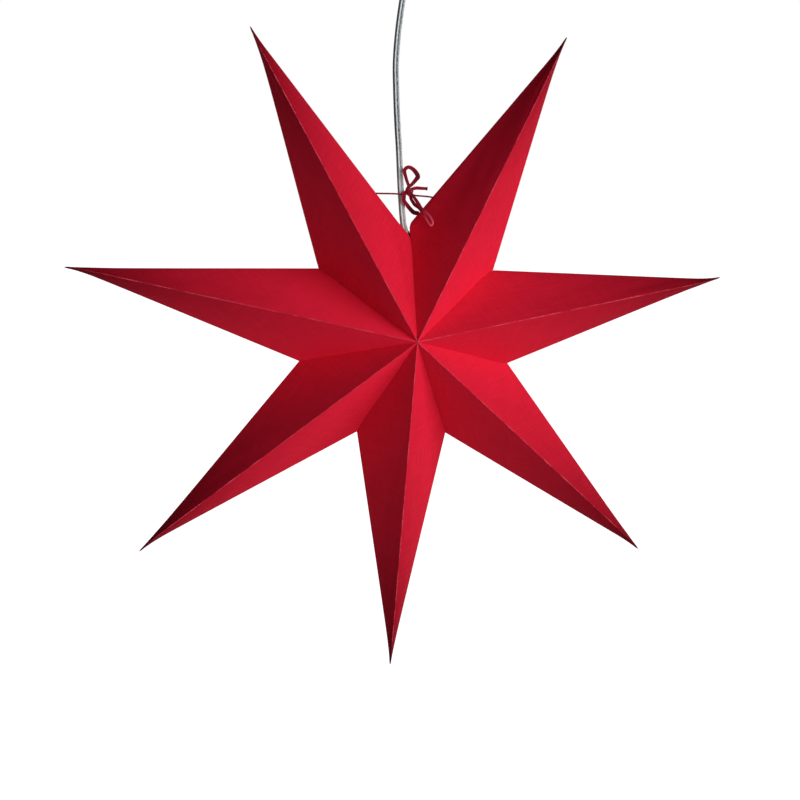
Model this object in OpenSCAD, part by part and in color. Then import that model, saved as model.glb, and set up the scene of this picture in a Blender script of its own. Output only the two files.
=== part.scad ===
// A hanging star folded from seven paper sheets, lit from inside by a small lamp.
// Each point of the star is one folded sheet, glued to its neighbours along the valleys.
// Lengths are in millimetres. The star faces -Y and hangs below the origin, which lies
// on the flat top of the ceiling cup.

/* [Star] */
// Distance from the middle of the star to each tip.
tip_reach = 308; // [300:1:316]
// Distance from the middle of the star to each valley between two points.
valley_reach = 100.5; // [98:0.5:103]
// Distance from the middle of the star to the two free corners at the slot.
slot_reach = 103; // [101:0.5:105]
// Distance from the middle of the star to its front apex, and to its back apex.
half_depth = 86; // [82:1:92]
// How far each facet swells outwards at its middle.
bow = 1.2; // [0:0.1:2]

/* [Paper] */
// Thickness of the paper.
paper = 0.4; // [0.3:0.05:0.5]
// Width of the glue flaps along the valleys.
flap_w = 12; // [9:0.5:13]
// Film of glue between two flaps.
glue = 0.1; // [0.06:0.02:0.2]
// Diameter of the punched holes for the tie.
tie_hole = 3.2; // [3:0.1:3.6]

/* [Lamp] */
// Width of the flat two-core cord.
cord_w = 5.8; // [5.4:0.1:6]
// Thickness of the flat two-core cord.
cord_t = 2.9; // [2.6:0.1:3.1]
// Outer diameter of the lampholder.
holder_d = 28; // [27:0.5:30]
// Diameter of the bulb.
bulb_d = 45; // [42:1:47]

/* [Hanging] */
// Height of the ceiling above the middle of the star.
drop = 344; // [342:1:360]
// Diameter of the ceiling cup.
cup_d = 62; // [56:1:68]

/* [Hidden] */

// The seven points go clockwise from the upper left, as glued by hand: the direction
// of each tip, and of the valley on each side of it, in degrees from +X towards +Z.
tip_turns = [117, 60.75, 9, -42.5, -92.5, -141.75, -192];
valleys_before = [142.5, 86.5, 35, -15.5, -67.5, -116.5, -166.5];
valleys_after = [93.5, 35, -15.5, -67.5, -116.5, -166.5, -217.5];
// Sideways bend of each worn tip, clockwise.
tip_bends = [-2.5, 1.5, -1.5, 0.5, 1.5, 0.5, -0.5];
bend_length = 26;
// How steeply the free flap at the slot dips under the next point.
free_dip = 0.26;
// How far the other point's free edge bows across the slot, near its corner.
slot_bow = 2;

// Steps from the tip to the base of a point, and across one facet.
tip_steps = [0.02, 0.06, 0.13, 0.28, 0.46, 0.64, 0.82, 1];
facet_steps = [0, 0.06, 0.12, 0.22, 0.5, 0.8, 0.88, 0.95];
facets = 4;
ring = facets * len(facet_steps);

// The tie: the holes lie this far up the folds from the slot corners, and this far
// behind the fold.
hole_ups = [33, 30];
hole_back = 3.2;
ribbon_w = 2.2;
ribbon_t = 0.8;
tie_out = 1.5;
stopper_r = 2.2;
seat_gap = 0.3;
knot = [3, -5, 130];

// Lamp heights, measured from the middle of the star.
neck_top = 95;
neck_low = 84;
cap_low = 64;
skirt_low = 36;
neck_r = 4.1;
wall = 1.6;
thread_r = 6.6;
bulb_mid = -6;

// Ceiling fitting heights, measured down from the ceiling.
cup_depth = 21;
grip_low = 29;
cord_slack = 0.25;

paper_red = [0.78, 0.06, 0.15];
ribbon_red = [0.5, 0.09, 0.15];
cord_clear = [0.75, 0.76, 0.76];
plastic_white = [0.93, 0.93, 0.91];
ceramic_white = [0.9, 0.89, 0.85];
brass_yellow = [0.8, 0.65, 0.35];
steel_grey = [0.7, 0.71, 0.72];
glass_opal = [0.97, 0.96, 0.93];

function dir(a) = [cos(a), 0, sin(a)];
function unit(v) = v / norm(v);
function mix(a, b, t) = a + (b - a) * t;
function across(v, along) = v - (v * along) * along;
// The point where three planes meet, each given by its normal and its distance.
function meet(a, da, b, db, c, dc) =
    (da * cross(b, c) + db * cross(c, a) + dc * cross(a, b)) / (a * cross(b, c));

// The middle of a point's base, moved out so that half the glue film lies on each side.
function base_middle(i, gap) =
    gap / sin((valleys_before[i] - valleys_after[i]) / 2)
    * dir((valleys_before[i] + valleys_after[i]) / 2);

function tip_of(i) = tip_reach * dir(tip_turns[i]);

// Base corners of a point: front apex, valley after, back apex, valley before.
function corners(i) =
    let (m = base_middle(i, glue / 2))
    [
        m + [0, -half_depth, 0],
        m + (i == 0 ? slot_reach : valley_reach) * dir(valleys_after[i]),
        m + [0, half_depth, 0],
        m + (i == 1 ? slot_reach : valley_reach) * dir(valleys_before[i])
    ];

// Inward normals of the four facets, in the order of the corners they start from.
function facet_normals(i) =
    let (c = corners(i), t = tip_of(i))
    [for (k = [0:facets - 1]) unit(cross(c[(k + 1) % facets] - t, c[k] - t))];

// Inward normals of the two side planes that the glue flaps lie in.
function side_normals(i) = [dir(valleys_after[i] + 90), dir(valleys_before[i] - 90)];

// The same corners on the inner face of the paper.
function inner_corners(i) =
    let (
        t = tip_of(i),
        m = base_middle(i, glue / 2),
        n = facet_normals(i),
        s = side_normals(i),
        f = [for (k = [0:facets - 1]) n[k] * t + paper],
        a = s[0] * m + paper,
        b = s[1] * m + paper,
        front = mix(meet(n[0], f[0], s[0], a, s[1], b), meet(n[3], f[3], s[0], a, s[1], b), 0.5),
        back = mix(meet(n[1], f[1], s[0], a, s[1], b), meet(n[2], f[2], s[0], a, s[1], b), 0.5)
    )
    [
        front,
        meet(n[0], f[0], n[1], f[1], s[0], a),
        back,
        meet(n[2], f[2], n[3], f[3], s[1], b)
    ];

function inner_tip(i) =
    let (t = tip_of(i), n = facet_normals(i))
    meet(n[0], n[0] * t + paper, n[1], n[1] * t + paper, n[2], n[2] * t + paper);

// A worn tip bends sideways over its last stretch.
function bend(i, p) =
    let (
        out = dir(tip_turns[i]),
        left = max(0, 1 - (tip_reach - p * out) / bend_length)
    )
    p + tip_bends[i] * pow(left, 2) * dir(tip_turns[i] - 90);

// A place on the base edge of a facet, straight but for the free edge at the slot.
function base_at(i, base, k, t) =
    mix(base[k], base[(k + 1) % facets], t)
    + (i == 1 && k == 3 ? slot_bow * sin(180 * pow(1 - t, 4)) : 0) * dir(valleys_before[1] + 90);

// One ring of a point's outer or inner face, at a share s of the way from tip to base.
function face_ring(i, tip, base, normals, s) =
    [for (k = [0:facets - 1], t = facet_steps)
        bend(i, tip + s * (base_at(i, base, k, t) - tip)
            - normals[k] * bow * 4 * t * (1 - t) * sin(180 * s))];

// How wide the glue flap is at a step across a facet, from apex (0) to valley (1).
// The flap that stays free at the slot starts narrow and has a round upper corner.
function flap_width(t, free) =
    !free ? (t > 0.08 && t < 0.85 ? flap_w : 0)
    : flap_w * min(sin(90 * min(1, (1 - t) / 0.2)), max(0, min(1, (t - 0.18) / 0.32)));

// Facets 0 and 1 meet at the valley after the point, facets 2 and 3 at the one before.
function flap_at(i, k, t) =
    let (free = i == 0 && k < 2, plain = i == 1 && k > 1)
    plain ? 0 : flap_width(k == 0 || k == 2 ? t : 1 - t, free);

// Direction of a flap from its crease: inwards beside its neighbour's, or, for the free
// one at the slot, across the slot and under the next point.
function flap_way(i, k) =
    let (
        c = corners(i),
        crease = unit(c[(k + 1) % facets] - c[k]),
        mid = mix(c[k], c[(k + 1) % facets], 0.5),
        free = i == 0 && k < 2
    )
    let (toward = free ? dir(valleys_after[i] - 90) - free_dip * unit(mid) : -mid)
    unit(across(toward, crease));

// Inward side of a flap's paper.
function flap_under(i, k) =
    let (free = i == 0 && k < 2, c = corners(i))
    free
    ? unit(across(-mix(c[k], c[(k + 1) % facets], 0.5), flap_way(i, k)))
    : side_normals(i)[k < 2 ? 0 : 1];

function flap_edge(i, under) =
    [for (k = [0:facets - 1], t = facet_steps)
        let (c = corners(i), w = flap_at(i, k, t))
        mix(c[k], c[(k + 1) % facets], t) + w * flap_way(i, k) + under * flap_under(i, k)];

function flap_widths(i) = [for (k = [0:facets - 1], t = facet_steps) flap_at(i, k, t)];

// Two triangles for a four-cornered face, less any that has shrunk to a line.
function quad(a, b, c, d) =
    [
        if (a != b && b != c && a != c) [a, b, c],
        if (a != c && c != d && a != d) [a, c, d]
    ];

// One folded sheet. Its points are the outer tip and rings, the inner tip and rings, and
// the outer and inner edges of its glue flaps.
module folded_sheet(i) {
    c = corners(i);
    ci = inner_corners(i);
    n = facet_normals(i);
    steps = len(tip_steps);
    outer = [for (s = tip_steps) each face_ring(i, tip_of(i), c, n, s)];
    inner = [for (s = tip_steps) each face_ring(i, inner_tip(i), ci, n, s)];
    widths = flap_widths(i);
    in0 = 1 + steps * ring;
    edge0 = 2 * in0;
    under0 = edge0 + ring;
    points = concat(
        [bend(i, tip_of(i))], outer, [bend(i, inner_tip(i))], inner,
        flap_edge(i, 0), flap_edge(i, paper)
    );
    last = (steps - 1) * ring;
    faces = [
        for (j = [0:ring - 1])
            let (
                q = (j + 1) % ring,
                rim_a = 1 + last + j,
                rim_b = 1 + last + q,
                in_a = in0 + 1 + last + j,
                in_b = in0 + 1 + last + q,
                out_a = widths[j] > 0 ? edge0 + j : rim_a,
                out_b = widths[q] > 0 ? edge0 + q : rim_b,
                low_a = widths[j] > 0 ? under0 + j : in_a,
                low_b = widths[q] > 0 ? under0 + q : in_b
            )
            each concat(
                [[0, 1 + q, 1 + j], [in0, in0 + 1 + j, in0 + 1 + q]],
                [for (k = [0:steps - 2]) each quad(
                    1 + k * ring + j, 1 + k * ring + q,
                    1 + (k + 1) * ring + q, 1 + (k + 1) * ring + j)],
                [for (k = [0:steps - 2]) each quad(
                    in0 + 1 + k * ring + q, in0 + 1 + k * ring + j,
                    in0 + 1 + (k + 1) * ring + j, in0 + 1 + (k + 1) * ring + q)],
                quad(rim_a, rim_b, out_b, out_a),
                quad(out_a, out_b, low_b, low_a),
                quad(low_a, low_b, in_b, in_a)
            )
    ];
    used = [for (j = [0:ring - 1]) widths[j] > 0];
    keep = [for (p = [0:len(points) - 1]) p < edge0 || used[(p - edge0) % ring]];
    place = running(keep);
    polyhedron(
        points = [for (p = [0:len(points) - 1]) if (keep[p]) points[p]],
        faces = [for (f = faces) [for (p = f) place[p]]],
        convexity = 6
    );
}

// For a list of true and false, how many are true before each.
function running(list) =
    [for (i = 0, n = 0; i < len(list); n = n + (list[i] ? 1 : 0), i = i + 1) n];

// The tie's hole in a point, just behind the fold next to the slot.
function hole_fold(i) = corners(i)[i == 0 ? 1 : 3];
function hole_place(i) =
    let (
        v = hole_fold(i),
        up = unit(tip_of(i) - v),
        back = unit(across([0, half_depth, 0] - v, up))
    )
    v + hole_ups[i] * up + hole_back * back;
function hole_normal(i) = facet_normals(i)[i == 0 ? 1 : 2];

module tie_hole_cut(i) {
    n = hole_normal(i);
    translate(hole_place(i))
        rotate([0, acos(n[2]), atan2(n[1], n[0])])
            cylinder(h = 7, d = tie_hole, center = true, $fn = 24);
}

module star_point(i) {
    color(paper_red)
        translate([0, 0, -drop])
            if (i < 2)
                difference() {
                    folded_sheet(i);
                    tie_hole_cut(i);
                }
            else
                folded_sheet(i);
}

// A smooth route through hand-placed points, with a few rings to each stretch.
function curve_at(a, b, c, d, t) =
    0.5 * (2 * b + (c - a) * t + (2 * a - 5 * b + 4 * c - d) * t * t
        + (3 * b - a - 3 * c + d) * t * t * t);
function route(p, n) =
    let (last = len(p) - 1)
    [
        for (i = [0:last - 1], j = [0:n - 1])
            curve_at(p[max(i - 1, 0)], p[i], p[i + 1], p[min(i + 2, last)], j / n),
        p[last]
    ];

// A flat cord swept along a route: w across as seen from the front, t deep.
module flat_cord(path, w, t, sides) {
    last = len(path) - 1;
    rings = [
        for (i = [0:last])
            let (
                along = unit(path[min(i + 1, last)] - path[max(i - 1, 0)]),
                side = unit(cross(along, [0, 1, 0])),
                deep = cross(along, side)
            )
            for (k = [0:sides - 1])
                path[i] + side * w / 2 * cos(k * 360 / sides)
                    + deep * t / 2 * sin(k * 360 / sides)
    ];
    faces = concat(
        [[for (k = [0:sides - 1]) k]],
        [[for (k = [0:sides - 1]) (last + 1) * sides - 1 - k]],
        [for (i = [0:last - 1], k = [0:sides - 1]) each
            let (a = i * sides + k, b = i * sides + (k + 1) % sides)
            [[a, a + sides, b + sides], [a, b + sides, b]]]
    );
    polyhedron(points = rings, faces = faces, convexity = 8);
}

// A ribbon starts at its stopper knot inside the point and goes out through the hole.
function tie_start(i) =
    let (p = hole_place(i), n = hole_normal(i))
    [p + (paper + seat_gap + stopper_r) * n, p, p - tie_out * n];

// The left ribbon comes out of the first point, goes through the knot, hangs down in a
// long loop and ends in a short cut end on the right.
left_route = concat(
    tie_start(0),
    [for (p = [
        [-22, 5.6, -1.5], [-13, 2.5, -1.7], [-6, 1, -2.2], [-1.5, 0.8, -1.8], [1.2, 0, -4], [2.2, -1, -7],
        [5.3, -1.2, -11.6], [9.3, -2.2, -15.1], [13.4, -9.5, -23], [16, -15.5, -29], [18, -16.8, -30.3],
        [19.3, -15.8, -27.2], [17, -10, -21.4], [11.5, -4, -15.1], [8.2, -3, -10.5], [3, -2.6, -3],
        [0.2, -2.4, 0.4], [2.2, -1, 2.2], [6.8, 0.4, 3.4], [12, 0.8, 3.2], [17.5, 1, 2.9]
    ]) knot + p]
);

// The right ribbon comes out of the second point, makes the upper loop and ends in the
// cut end that hangs to the lower left.
right_route = concat(
    tie_start(1),
    [for (p = [
        [19, 6.3, -4.2], [14, 4.2, -3.8], [7, 3, -3.3], [2, 2.4, -2.4], [-1.2, 2.6, -0.2], [-0.6, 2.4, 3.4],
        [3.3, 1.6, 7], [7, 1.6, 11.3], [8.6, 1.6, 14.4], [5.1, 1.4, 19.6], [0.4, 1, 22.3], [-3, 0.8, 20.8],
        [-3.8, 0.6, 18], [-2.2, 0.2, 11.5], [-0.1, -0.6, 4.5], [-1.2, -0.8, 1.4], [-3.9, -0.6, -1.2],
        [-4.4, -0.2, -4.5], [-4.2, 0.8, -8.1], [-1, 2, -12.3], [3.3, 4, -16.2], [7.5, 5.6, -18.8]
    ]) knot + p]
);

module tie_ribbon(path) {
    color(ribbon_red)
        translate([0, 0, -drop]) {
            flat_cord(route(path, 2), ribbon_w, ribbon_t, 8);
            translate(path[0])
                sphere(r = stopper_r, $fn = 20);
        }
}

// The lamp cord hangs with a slight set, from the terminal block down to the lampholder.
cord_route = concat(
    [[0, 0, cap_low + 8], [0, 0, neck_low], [0, 0, neck_top]],
    [
        [-1.2, 0, 101], [-2.2, 0, 111], [-3.6, 0, 132], [-4.4, 0, 149], [-5.2, 0, 168],
        [-6.7, 0, 193], [-7.7, 0, 220], [-8, 0, 247], [-5.8, 0, 275], [-2.2, 0, 301]
    ],
    [[0, 0, drop - grip_low - 2], [0, 0, drop - cup_depth], [0, 0, drop - 12]]
);

module lamp_cord() {
    color(cord_clear)
        translate([0, 0, -drop])
            flat_cord(route(cord_route, 2), cord_w, cord_t, 12);
}

// A turned part, from a profile of [radius, height] points, heights from the star's middle.
module turned(profile) {
    translate([0, 0, -drop])
        rotate_extrude($fn = 40)
            polygon(profile);
}

cord_bore = cord_w / 2 + cord_slack;

module lampholder_cap() {
    r = holder_d / 2;
    color(plastic_white)
        turned([
            [cord_bore, neck_top], [neck_r - 0.6, neck_top], [neck_r, neck_top - 1.2],
            [neck_r, neck_low], [neck_r + 1.4, neck_low - 3], [r - 5.5, neck_low - 9],
            [r - 1.8, neck_low - 14], [r, cap_low + 3], [r, cap_low],
            [r - wall, cap_low], [r - wall, cap_low + 2.4],
            [r - 1.8 - wall, neck_low - 15], [r - 5.5 - wall, neck_low - 10.4],
            [cord_bore + 0.4, neck_low - 4.5], [cord_bore, neck_low - 3]
        ]);
}

module lampholder_skirt() {
    r = holder_d / 2;
    color(plastic_white)
        turned([
            [r - wall - 0.2, cap_low + 2], [r - wall - 0.2, cap_low - 0.2],
            [r, cap_low - 0.2], [r, cap_low - 4], [r - 0.8, cap_low - 5],
            [r - 0.8, skirt_low + 1], [r - 1.4, skirt_low],
            [r - 0.8 - wall, skirt_low], [r - 0.8 - wall, cap_low - 6],
            [r - 2 * wall, cap_low - 5], [r - 2 * wall, cap_low + 2]
        ]);
}

// The ceramic disc that carries the contacts, seated in the skirt.
module contact_carrier() {
    r = holder_d / 2 - 2 * wall - 0.1;
    color(ceramic_white)
        turned([
            [0, cap_low + 1.5], [r, cap_low + 1.5], [r, cap_low - 4.5],
            [thread_r + 0.8, cap_low - 4.5], [0, cap_low - 4.5]
        ]);
}

module contact_sleeve() {
    color(brass_yellow)
        turned([
            [thread_r + 0.6, cap_low - 4.5], [thread_r + 0.6, skirt_low + 3],
            [thread_r + 0.2, skirt_low + 3], [thread_r + 0.2, cap_low - 4.5]
        ]);
}

module centre_contact() {
    color(brass_yellow)
        turned([
            [0, cap_low - 4.5], [2.6, cap_low - 4.5], [2, cap_low - 6], [0, cap_low - 6.4]
        ]);
}

bulb_r = bulb_d / 2;
bulb_neck = skirt_low - 1.5;

// The glass: a round bowl drawn into a neck, open where the metal base is crimped on.
function bulb_outline(r, grow) =
    [for (a = [-90:10:55]) [(r - grow) * cos(a), bulb_mid + (r - grow) * sin(a)]];

module bulb_glass() {
    color(glass_opal)
        turned(concat(
            [for (p = bulb_outline(bulb_r, 0)) [max(p[0], 0), p[1]]],
            [[9, bulb_mid + bulb_r + 4], [thread_r - 0.6, bulb_neck - 4], [thread_r - 0.6, bulb_neck + 2]],
            [[thread_r - 1.5, bulb_neck + 2], [thread_r - 1.5, bulb_neck - 4.3], [8, bulb_mid + bulb_r + 3]],
            [for (i = [14:-1:0]) [max(bulb_outline(bulb_r, 1)[i][0], 0), bulb_outline(bulb_r, 1)[i][1]]]
        ));
}

module bulb_base() {
    color(brass_yellow)
        turned([
            [thread_r - 0.4, bulb_neck - 1], [thread_r, bulb_neck - 1],
            [thread_r, cap_low - 9.5], [thread_r - 1.5, cap_low - 8.5],
            [3, cap_low - 8.5], [3, cap_low - 8.9], [thread_r - 1.7, cap_low - 8.9],
            [thread_r - 0.4, cap_low - 9.7]
        ]);
}

module bulb_foot() {
    color(brass_yellow)
        turned([[0, cap_low - 6.5], [2.2, cap_low - 6.7], [2.9, cap_low - 8.9], [0, cap_low - 8.9]]);
}

// The ceiling cup is a shallow shell, open at the ceiling.
module ceiling_cup() {
    r = cup_d / 2;
    color(plastic_white)
        turned([
            [r, drop], [r, drop - 3], [r - 2.5, drop - 9], [r - 9, drop - 16.5],
            [r - 16, drop - cup_depth + 0.8], [r - 20, drop - cup_depth],
            [5.2, drop - cup_depth], [5.2, drop - cup_depth + wall],
            [r - 19.5, drop - cup_depth + wall], [r - 16, drop - cup_depth + wall + 0.7],
            [r - 10, drop - 15.2], [r - 4.1, drop - 8.4], [r - wall, drop - 3], [r - wall, drop]
        ]);
}

module ceiling_cord_grip() {
    color(plastic_white)
        turned([
            [cord_bore, drop - grip_low], [4.3, drop - grip_low], [5.6, drop - cup_depth - 2],
            [6.6, drop - cup_depth - 0.1], [5.1, drop - cup_depth - 0.1],
            [5.1, drop - cup_depth + wall + 2.5], [cord_bore, drop - cup_depth + wall + 2.5]
        ]);
}

// The steel strap across the cup, with its two screw holes.
module ceiling_strap() {
    length = cup_d - 2 * wall - 2;
    color(steel_grey)
        translate([0, 0, -1.2])
            difference() {
                translate([-length / 2, -6, 0])
                    cube([length, 12, 1.2]);
                for (x = [-18, 18])
                    translate([x, 0, -1])
                        cylinder(h = 4, d = 4.5, $fn = 24);
            }
}

module terminal_block() {
    color(ceramic_white)
        translate([-9, -5, -11.8])
            cube([18, 10, 10.5]);
}

star_point(0);  // point_1
star_point(1);  // point_2
star_point(2);  // point_3
star_point(3);  // point_4
star_point(4);  // point_5
star_point(5);  // point_6
star_point(6);  // point_7
tie_ribbon(left_route);  // tie_ribbon_left
tie_ribbon(right_route);  // tie_ribbon_right
lamp_cord();
lampholder_cap();
lampholder_skirt();
contact_carrier();
contact_sleeve();
centre_contact();
bulb_glass();
bulb_base();
bulb_foot();
ceiling_cup();
ceiling_cord_grip();
ceiling_strap();
terminal_block();
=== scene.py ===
"""A hanging star folded from seven red paper sheets, with its tie, lamp cord and lampholder.

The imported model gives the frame: every piece lies where its solid lies, in metres. The star
faces -Y and hangs below the origin, which is on the flat top of the ceiling cup.
"""

import logging
from dataclasses import dataclass, field
from enum import Enum
from math import cos, pi, radians, sin
from typing import Any, Callable, Sequence

import bmesh
import bpy
import numpy as np
from mathutils import Euler, Matrix, Vector


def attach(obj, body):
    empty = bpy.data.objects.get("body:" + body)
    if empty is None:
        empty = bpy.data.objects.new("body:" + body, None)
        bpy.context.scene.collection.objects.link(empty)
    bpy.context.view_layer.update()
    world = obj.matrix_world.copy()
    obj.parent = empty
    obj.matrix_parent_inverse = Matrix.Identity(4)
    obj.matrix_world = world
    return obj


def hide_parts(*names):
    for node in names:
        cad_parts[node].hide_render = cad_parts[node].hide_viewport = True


LOG = logging.getLogger("paper_star")

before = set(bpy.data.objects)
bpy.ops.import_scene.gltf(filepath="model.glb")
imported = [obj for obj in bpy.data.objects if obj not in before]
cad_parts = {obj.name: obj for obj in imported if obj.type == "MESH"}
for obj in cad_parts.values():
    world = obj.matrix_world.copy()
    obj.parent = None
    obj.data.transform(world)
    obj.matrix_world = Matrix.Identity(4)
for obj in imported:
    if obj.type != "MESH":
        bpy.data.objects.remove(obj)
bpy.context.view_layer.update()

MM = 0.001
BODY = "root"
# Height of the ceiling above the middle of the star, in metres.
DROP = 0.344
STAR_MIDDLE = np.array([0.0, 0.0, -DROP])

Colour = tuple[float, float, float]


class Facet(Enum):
    """The four facets of a point, each from the corner it starts at to the next one."""

    FRONT_AFTER = 0
    BACK_AFTER = 1
    BACK_BEFORE = 2
    FRONT_BEFORE = 3


class Side(Enum):
    """Which of the two upper points a ribbon comes out of."""

    LEFT = 0
    RIGHT = 1


def srgb(red: float, green: float, blue: float) -> Colour:
    """Turns a display colour of 0 to 255 into a linear one of 0 to 1.

    Args:
        red: Red on the display.
        green: Green on the display.
        blue: Blue on the display.

    Returns:
        The linear colour: ((c + 0.055) / 1.055) ^ 2.4, or c / 12.92 when very dark.
    """
    share = np.array([red, green, blue]) / 255.0
    linear = np.where(share > 0.04045, ((share + 0.055) / 1.055) ** 2.4, share / 12.92)
    return tuple(float(c) for c in linear)


def unit(vectors: np.ndarray) -> np.ndarray:
    """Scales each vector along the last axis to length 1."""
    return vectors / np.maximum(np.linalg.norm(vectors, axis=-1, keepdims=True), 1e-12)


def bearing(degrees: float | np.ndarray) -> np.ndarray:
    """The direction in the XZ plane at an angle from +X towards +Z."""
    a = np.radians(degrees)
    return np.stack([np.cos(a), np.zeros_like(a), np.sin(a)], axis=-1)


def smooth_route(points: Sequence[Sequence[float]], steps: int) -> np.ndarray:
    """A smooth curve through given points.

    Each stretch is the cubic that passes its two ends with slopes of half the chord
    between their neighbours, cut into equal steps.

    Args:
        points: The points, in metres.
        steps: How many steps each stretch is cut into.

    Returns:
        The curve's points, one row each.
    """
    p = np.asarray(points, float)
    last = len(p) - 1
    at = np.arange(last)
    a, b = p[np.maximum(at - 1, 0)], p[at]
    c, d = p[at + 1], p[np.minimum(at + 2, last)]
    t = (np.arange(steps) / steps)[None, :, None]
    a, b, c, d = (q[:, None, :] for q in (a, b, c, d))
    curve = 0.5 * (
        2 * b + (c - a) * t + (2 * a - 5 * b + 4 * c - d) * t**2 + (3 * b - a - 3 * c + d) * t**3
    )
    return np.vstack([curve.reshape(-1, 3), p[-1:]])


def travelled(path: np.ndarray) -> np.ndarray:
    """How far along a line each of its points lies, from 0 at the first."""
    return np.concatenate([[0], np.cumsum(np.linalg.norm(np.diff(path, axis=0), axis=1))])


def path_length(path: np.ndarray) -> float:
    """The length of a line through its points."""
    return float(np.linalg.norm(np.diff(path, axis=0), axis=1).sum())


def broad_to_front(along: np.ndarray) -> tuple[np.ndarray, np.ndarray]:
    """Unit vectors across and through a band that turns its broad side to the front.

    Args:
        along: Unit vectors along the band, one per point.

    Returns:
        side = along x Y, made a unit, and deep = along x side.
    """
    side = unit(np.cross(along, np.array([0.0, 1.0, 0.0])))
    return side, np.cross(along, side)


def band_map(lengths: np.ndarray, over: np.ndarray) -> np.ndarray:
    """The flat map of a band: how far along it a point lies, and how far over it."""
    return np.stack(np.broadcast_arrays(lengths[:, None], over[None, :]), axis=-1)


def doubled_ends(values: np.ndarray) -> np.ndarray:
    """Repeats the first and the last value, for the rings that close a band's ends."""
    return np.concatenate([values[:1], values, values[-1:]])


def in_scene(name: str, data: bpy.types.ID) -> bpy.types.Object:
    """Makes an object of some data and links it to the scene."""
    made = bpy.data.objects.new(name, data)
    bpy.context.scene.collection.objects.link(made)
    return made


class Surface:
    """Gathers grids of points into one closed mesh with a flat map and named weights."""

    def __init__(self) -> None:
        """Starts with nothing in it."""
        self.points: list[np.ndarray] = []
        self.quads: list[np.ndarray] = []
        self.flat: list[np.ndarray] = []
        self.weights: list[dict[str, np.ndarray]] = []
        self.finish: list[np.ndarray] = []
        self.count = 0

    def grid(
        self,
        points: np.ndarray,
        flat: np.ndarray | None = None,
        weights: dict[str, np.ndarray] | None = None,
        finish: int = 0,
        flip: bool = False,
    ) -> None:
        """Adds a grid: point (i, j) joins (i + 1, j), (i + 1, j + 1) and (i, j + 1).

        Args:
            points: Rows by columns by 3.
            flat: Rows by columns by 2, the place of each point on the flat piece.
            weights: Values at each point, rows by columns, under their names.
            finish: Which of the piece's finishes the faces get.
            flip: Whether the faces point the other way.
        """
        rows, columns = points.shape[:2]
        number = self.count + np.arange(rows * columns).reshape(rows, columns)
        quads = np.stack(
            [number[:-1, :-1], number[1:, :-1], number[1:, 1:], number[:-1, 1:]], axis=-1
        ).reshape(-1, 4)
        if flip:
            quads = quads[:, ::-1]
        self.points.append(points.reshape(-1, 3))
        self.quads.append(quads)
        place = np.zeros((rows, columns, 2)) if flat is None else flat
        self.flat.append(place.reshape(-1, 2))
        self.weights.append({k: v.reshape(-1) for k, v in (weights or {}).items()})
        self.finish.append(np.full(len(quads), finish))
        self.count += rows * columns

    def build(self, name: str, crease: float, weld: float = 2e-6) -> bpy.types.Object:
        """Makes the piece: joins doubled points, points the faces out and marks creases.

        Args:
            name: The piece's name.
            crease: Edges sharper than this many degrees stay sharp.
            weld: Points closer than this many metres become one.

        Returns:
            The piece's object, which rides on the body.
        """
        points = np.vstack(self.points)
        quads = np.vstack(self.quads)
        mesh = bpy.data.meshes.new(name)
        mesh.from_pydata(points.tolist(), [], quads.tolist())
        flat = mesh.uv_layers.new(name="flat")
        flat.uv.foreach_set("vector", np.vstack(self.flat)[quads.reshape(-1)].ravel())
        mesh.polygons.foreach_set("material_index", np.concatenate(self.finish))
        for key in sorted({k for w in self.weights for k in w}):
            values = [
                w.get(key, np.zeros(len(p))) for w, p in zip(self.weights, self.points)
            ]
            layer = mesh.attributes.new(key, "FLOAT", "CORNER")
            corner = np.concatenate(values)[quads.reshape(-1)]
            layer.data.foreach_set("value", corner.astype(np.float32))
        shape = bmesh.new()
        shape.from_mesh(mesh)
        bmesh.ops.remove_doubles(shape, verts=shape.verts, dist=weld)
        bmesh.ops.dissolve_degenerate(shape, edges=shape.edges, dist=1e-7)
        if shape.calc_volume(signed=True) < 0:
            bmesh.ops.reverse_faces(shape, faces=shape.faces)
        shape.to_mesh(mesh)
        shape.free()
        mesh.shade_smooth()
        mesh.set_sharp_from_angle(angle=radians(crease))
        mesh.update()
        piece = in_scene(name, mesh)
        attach(piece, BODY)
        return piece


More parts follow.
